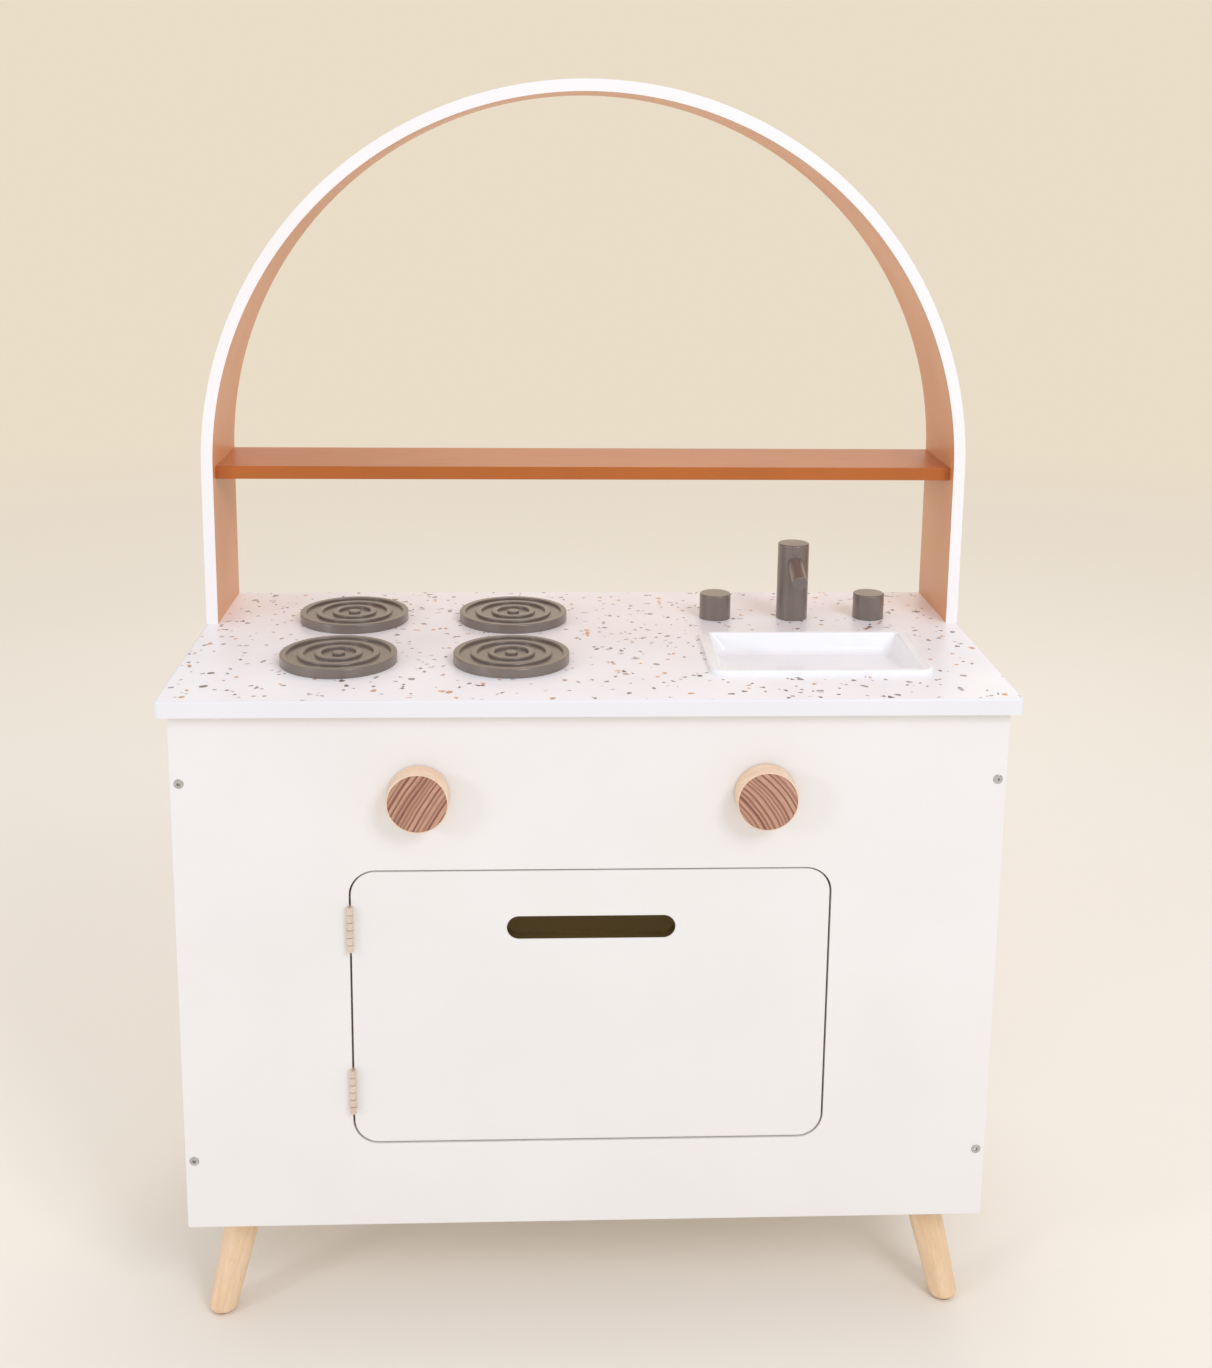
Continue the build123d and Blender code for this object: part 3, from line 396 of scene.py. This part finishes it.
def moulded_sink_plastic(name):
    """Injection-moulded white ABS: glossy, with the slight waviness of a cooled moulding and a
    little light that enters it and comes back out."""
    material, tree, shader, place = blank_material(name)
    waves = clouds(tree, place, 22, detail=1)
    lengthwise = add_node(tree, "ShaderNodeMapping", {"Vector": place, "Scale": (0.2, 1.0, 1.0)})
    scuffs = clouds(tree, lengthwise, 1.2, detail=4)
    set_shader(
        tree,
        shader,
        Base_Color=mottled(tree, waves, "#FBFBFB", "#F7F8F8", start=0.3),
        Roughness=spread(tree, scuffs, 0.14, 0.24, 0.35, 0.75),
        IOR=1.53,
        Subsurface_Weight=0.12,
        Subsurface_Radius=(1.0, 0.9, 0.8),
        Subsurface_Scale=2.0 * mm,
        Normal=relief(tree, (waves, 0.15)),
    )
    return material


def satin_brass(name):
    """Pressed brass strip with a pale satin finish: soft straight brushing along the barrel, pinker
    where handling has rubbed the lacquer."""
    material, tree, shader, place = blank_material(name)
    brushing = add_node(tree, "ShaderNodeMapping", {"Vector": place, "Scale": (1.0, 1.0, 0.06)})
    strokes = clouds(tree, brushing, 0.35, detail=2)
    tarnish = clouds(tree, place, 9, detail=4)
    set_shader(
        tree,
        shader,
        Base_Color=mottled(tree, tarnish, "#E9DCCB", "#E0CBB9"),
        Metallic=0.7,
        Roughness=spread(tree, strokes, 0.28, 0.46, 0.3, 0.7),
        Normal=relief(tree, (strokes, 0.02)),
    )
    return material


def bright_zinc(name):
    """Bright zinc plate on steel screws and bolts: cool, fairly shiny, with a blue and straw bloom
    and fine handling marks."""
    material, tree, shader, place = blank_material(name)
    bloom = clouds(tree, place, 2.5, detail=4)
    marks = clouds(tree, place, 0.3, detail=3)
    set_shader(
        tree,
        shader,
        Base_Color=mottled(tree, bloom, "#C9CED3", "#B9B6AC"),
        Metallic=1.0,
        Roughness=spread(tree, marks, 0.2, 0.38, 0.3, 0.7),
        Normal=relief(tree, (marks, 0.01)),
    )
    return material


def raw_dowel(name):
    """Raw beech dowel: dry pale wood with fluted fibres along it and no sheen."""
    material, tree, shader, place = blank_material(name)
    along = add_node(tree, "ShaderNodeMapping", {"Vector": place, "Scale": (0.06, 1.0, 1.0)})
    fibres = clouds(tree, along, 0.6, detail=3)
    set_shader(
        tree,
        shader,
        Base_Color=mottled(tree, fibres, "#E6C8A0", "#CDA677", start=0.3),
        Roughness=spread(tree, fibres, 0.68, 0.82, 0.3, 0.7),
        IOR=1.45,
        Normal=relief(tree, (fibres, 0.1)),
    )
    return material


def natural_nylon(name):
    """Punched nylon washer: milky, slightly waxy plastic with a fine tool texture."""
    material, tree, shader, place = blank_material(name)
    texture = clouds(tree, place, 0.5, detail=3)
    set_shader(
        tree,
        shader,
        Base_Color=mottled(tree, texture, "#E9E6DC", "#DEDACD"),
        Roughness=spread(tree, texture, 0.4, 0.55, 0.3, 0.7),
        IOR=1.53,
        Subsurface_Weight=0.2,
        Subsurface_Scale=1.0 * mm,
        Normal=relief(tree, (texture, 0.02)),
    )
    return material


def nickel_magnet(name):
    """Nickel-plated magnet: hard, warm grey mirror with small chips and rub marks."""
    material, tree, shader, place = blank_material(name)
    rubs = clouds(tree, place, 1.5, detail=5, roughness=0.7)
    set_shader(
        tree,
        shader,
        Base_Color=mottled(tree, rubs, "#B4B0A8", "#8F8B84", start=0.4),
        Metallic=1.0,
        Roughness=spread(tree, rubs, 0.16, 0.42, 0.35, 0.75),
        Normal=relief(tree, (rubs, 0.01)),
    )
    return material


def pressed_felt(name):
    """Pressed wool felt glide: dark brown, matt and fuzzy, with loose fibres that catch the light."""
    material, tree, shader, place = blank_material(name)
    fluff = clouds(tree, place, 0.7, detail=5, roughness=0.7)
    set_shader(
        tree,
        shader,
        Base_Color=mottled(tree, fluff, "#4B3F34", "#2E261F"),
        Roughness=0.95,
        IOR=1.4,
        Sheen_Weight=0.3,
        Sheen_Roughness=0.6,
        Normal=relief(tree, (fluff, 0.25)),
    )
    return material


def middle(points):
    """Mean of some places."""
    return sum(points, Vector()) / len(points)


def leg_grain(node):
    """Direction up a splayed leg, from the middle of its foot to the middle of its top."""
    low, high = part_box(node)
    points = [vertex.co for vertex in frame["nodes"][node].data.vertices]
    end_depth = 0.5 * mm
    foot = middle([point for point in points if point.z < low.z + end_depth])
    top = middle([point for point in points if point.z > high.z - end_depth])
    return top - foot


def finish_nodes():
    """Give every carried-over piece the finish of its slot."""
    finishes = {
        "carcass_lacquer": sprayed_lacquer("Carcass_Satin_Lacquer", "#F1EEE9", "#ECE8E3"),
        "worktop_lacquer": sprayed_lacquer("Worktop_Edge_Lacquer", "#EEEDEE", "#E9E8E9", 0.34),
        "arch_lacquer": two_tone_lacquer(
            "Arch_Two_Tone_Lacquer", "#FAF6F4", "#F6F0ED", "#DE9B66", "#D4915E"
        ),
        "terrazzo_laminate": terrazzo_laminate("Worktop_Terrazzo_Laminate"),
        "terracotta_lacquer": terracotta_lacquer("Shelf_Terracotta_Lacquer"),
        "taupe_lacquer": taupe_lacquer("Tap_Taupe_Lacquer", None),
        "beech": turned_beech("Knob_Turned_Beech", (1, 0, 0.15), "#F9DFC4", "#EFCBA8"),
        "dowel_beech": raw_dowel("Dowel_Raw_Beech"),
        "striped_wood": brushed_larch("Knob_Face_Brushed_Larch"),
        "sink_plastic": moulded_sink_plastic("Sink_Moulded_ABS"),
        "hinge_brass": satin_brass("Hinge_Satin_Brass"),
        "zinc_steel": bright_zinc("Fastener_Bright_Zinc"),
        "magnet": nickel_magnet("Catch_Nickel_Magnet"),
        "nylon": natural_nylon("Washer_Natural_Nylon"),
        "felt": pressed_felt("Glide_Pressed_Felt"),
    }
    special = {"oven_door": sprayed_lacquer("Door_Satin_Lacquer", "#F0EDE8", "#EBE8E2", slot_fibreboard_and_shade=True)}
    for node in frame["nodes"]:
        if node.startswith("leg_") and "plate" not in node:
            special[node] = turned_beech(f"Turned_Beech_{node}", leg_grain(node))
        if node.startswith("burner_") and "screws" not in node:
            low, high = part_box(node)
            special[node] = taupe_lacquer(f"Hob_Taupe_Lacquer_{node}", (low + high) / 2)
    for part in frame["record"]["subparts"]:
        node = frame["nodes"][part["node"]]
        node.data.materials.clear()
        node.data.materials.append(special.get(part["node"], finishes[part["material_slot"]]))
    return finishes


# ---- Knob faces --------------------------------------------------------------------------------
groove_half_widths = (0.55 * mm, 1.15 * mm)
groove_strengths = (0.5, 1.0)
groove_spacings = (2.7 * mm, 5.2 * mm)
groove_slope = 2.4
groove_relief = 0.5 * mm
groove_wander = 0.7 * mm
wander_across = 14 * mm
wander_along = 16 * mm
wander_slice = 3.7
face_rows = 150
face_rim_share = 0.015
face_rim_drop = 0.25 * mm
knob_grains = {"left": (58, 2.0, 5), "right": (128, -5.0, 11)}


def groove_lines(seed, reach):
    """Growth rings across a face: place, half width and depth of each worn line."""
    chance = random.Random(seed)
    lines = []
    at = -reach
    while at < reach:
        lines.append((at, chance.uniform(*groove_half_widths), chance.uniform(*groove_strengths)))
        at += chance.uniform(*groove_spacings)
    return lines


def groove_depth(lines, across, along):
    """Depth from 0 to 1 at a point: a steep wall on one side of each line, a long slope on the other."""
    sample = Vector((across / wander_across, along / wander_along, wander_slice))
    wander = groove_wander * noise.noise(sample)
    deepest = 0.0
    for at, half_width, depth in lines:
        offset = (across + wander - at) / half_width
        wall = 1.0 + offset if offset < 0 else 1.0 - offset / groove_slope
        deepest = max(deepest, depth * max(0.0, wall))
    return deepest


def brushed_face(side, lean, bow, seed):
    """Relief disc that stands for a knob's inlaid face: a grid pressed into a circle, so that its
    quads stay even, then closed with a wall and a back."""
    low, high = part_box(f"knob_face_{side}")
    centre = (low + high) / 2
    radius = (high.x - low.x) / 2
    widest_reach = 1.4 * radius
    lines = groove_lines(seed, widest_reach)
    direction = Vector((math.cos(lean), math.sin(lean)))
    mesh = bmesh.new()
    groove = mesh.verts.layers.float.new("groove")
    grid = []
    for row in range(face_rows + 1):
        grid.append([])
        for column in range(face_rows + 1):
            u = 2 * column / face_rows - 1
            v = 2 * row / face_rows - 1
            x = radius * u * math.sqrt(1 - v * v / 2)
            z = radius * v * math.sqrt(1 - u * u / 2)
            along = x * direction.x + z * direction.y
            across = z * direction.x - x * direction.y + bow * along * along
            depth = groove_depth(lines, across, along)
            past_rim = max(0.0, math.hypot(x, z) / radius - (1 - face_rim_share))
            y = low.y + groove_relief * depth + face_rim_drop * past_rim / face_rim_share
            vertex = mesh.verts.new((centre.x + x, y, centre.z + z))
            vertex[groove] = depth
            grid[-1].append(vertex)
    for lower, upper in zip(grid, grid[1:]):
        for column in range(face_rows):
            corners = (lower[column], lower[column + 1], upper[column + 1], upper[column])
            mesh.faces.new(corners)
    rim = [edge for edge in mesh.edges if edge.is_boundary]
    walls = bmesh.ops.extrude_edge_only(mesh, edges=rim)["geom"]
    for vertex in walls:
        if isinstance(vertex, bmesh.types.BMVert):
            vertex.co.y = high.y
    back = [edge for edge in mesh.edges if edge.is_boundary]
    bmesh.ops.contextual_create(mesh, geom=back)
    bmesh.ops.recalc_face_normals(mesh, faces=mesh.faces)
    for face in mesh.faces:
        face.smooth = len(face.verts) == 4
    data = bpy.data.meshes.new(f"knob_face_relief_{side}")
    mesh.to_mesh(data)
    mesh.free()
    piece = bpy.data.objects.new(f"knob_face_relief_{side}", data)
    bpy.context.scene.collection.objects.link(piece)
    return piece


def add_knob_faces(finishes):
    """Add both faces, each with its own lean and bow of the growth rings."""
    for side, (lean, bow, seed) in knob_grains.items():
        piece = brushed_face(side, math.radians(lean), bow, seed)
        piece.data.materials.append(finishes["striped_wood"])
        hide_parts(f"knob_face_{side}")
        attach(piece, f"knob_{side}")


# ---- Floor, light and camera -------------------------------------------------------------------
def pale_floor():
    """Pale cream floor that fades out into the backdrop colour well away from the kitchen."""
    floor_radius = 6.0
    fade_start = 1.2
    fade_end = 4.5
    mesh = bmesh.new()
    bmesh.ops.create_circle(mesh, cap_ends=True, segments=128, radius=floor_radius)
    data = bpy.data.meshes.new("studio_floor")
    mesh.to_mesh(data)
    mesh.free()
    floor = bpy.data.objects.new("studio_floor", data)
    bpy.context.scene.collection.objects.link(floor)
    material, tree, shader, place = blank_material("Studio_Floor")
    patches = clouds(tree, place, 900, detail=2)
    distance = add_node(tree, "ShaderNodeVectorMath", {0: place}, operation="LENGTH").outputs["Value"]
    fade = spread(tree, distance, 0.0, 1.0, fade_start, fade_end)
    clear = add_node(tree, "ShaderNodeBsdfTransparent")
    set_shader(
        tree,
        shader,
        Base_Color=blend(tree, patches, colour("#F6EFE4"), colour("#F3EADC")),
        Roughness=0.9,
        Specular_IOR_Level=0.1,
    )
    mixed = add_node(tree, "ShaderNodeMixShader", {0: fade, 1: shader, 2: clear})
    tree.links.new(mixed.outputs[0], tree.nodes["Material Output"].inputs["Surface"])
    data.materials.append(material)


def soft_light(name, place, aim, size, power, tint):
    """Square soft box that points at a spot and isn't seen itself."""
    data = bpy.data.lights.new(name, "AREA")
    data.shape = "SQUARE"
    data.size = size
    data.energy = power
    data.color = colour(tint)[:3]
    lamp = bpy.data.objects.new(name, data)
    bpy.context.scene.collection.objects.link(lamp)
    lamp.visible_camera = False
    lamp.location = place
    lamp.rotation_euler = (Vector(aim) - Vector(place)).to_track_quat("-Z", "Y").to_euler()


def studio():
    """Warm backdrop all round, a main soft box high on the right, a smaller one low on the left, one
    behind, and a faint amber light that keeps the dark inside of the cupboard from going black."""
    scene = bpy.context.scene
    scene.world = bpy.data.worlds.new("Studio_Backdrop")
    scene.world.use_nodes = True
    tree = scene.world.node_tree
    path = add_node(tree, "ShaderNodeLightPath")
    rays = {0: path.outputs["Is Camera Ray"], 1: path.outputs["Is Glossy Ray"]}
    seen = add_node(tree, "ShaderNodeMath", rays, operation="MAXIMUM")
    room_light = blend(tree, seen, colour("#E3E3E6"), colour("#EADDC8"))
    tree.links.new(room_light.outputs["Result"], tree.nodes["Background"].inputs["Color"])
    scene.view_settings.view_transform = "Standard"
    pale_floor()
    soft_light(
        "main_soft_box", place=(1.5, -2.4, 2.5), aim=(0.0, 0.0, 0.5), size=1.1, power=34, tint="#EAEFFF"
    )
    soft_light(
        "left_soft_box", place=(-2.4, -1.7, 1.35), aim=(0.1, 0.0, 0.6), size=0.5, power=12, tint="#EAEFFF"
    )
    soft_light(
        "back_soft_box", place=(0.4, 2.0, 2.4), aim=(0.0, 0.0, 0.6), size=1.6, power=13, tint="#FFF1E0"
    )
    soft_light(
        "cupboard_glow", place=(0.0, 0.02, 0.5), aim=(0.0, 0.02, 0.1), size=0.15, power=0.06, tint="#FFD786"
    )


def set_camera():
    """Slightly high camera in front, a little left of the middle."""
    data = bpy.data.cameras.new("front_camera")
    data.sensor_width = 36.0
    data.lens = 43.33
    data.shift_y = -0.15
    camera = bpy.data.objects.new("front_camera", data)
    bpy.context.scene.collection.objects.link(camera)
    place = Matrix.Translation((-0.0493, -1.4183, 1.0044))
    turn = Matrix.Rotation(math.radians(-2.59), 4, "Z")
    pitch = Matrix.Rotation(math.radians(90 - 11.2), 4, "X")
    roll = Matrix.Rotation(math.radians(0.63), 4, "Z")
    camera.matrix_world = place @ turn @ pitch @ roll
    bpy.context.scene.camera = camera


finishes = finish_nodes()
add_knob_faces(finishes)
studio()
set_camera()
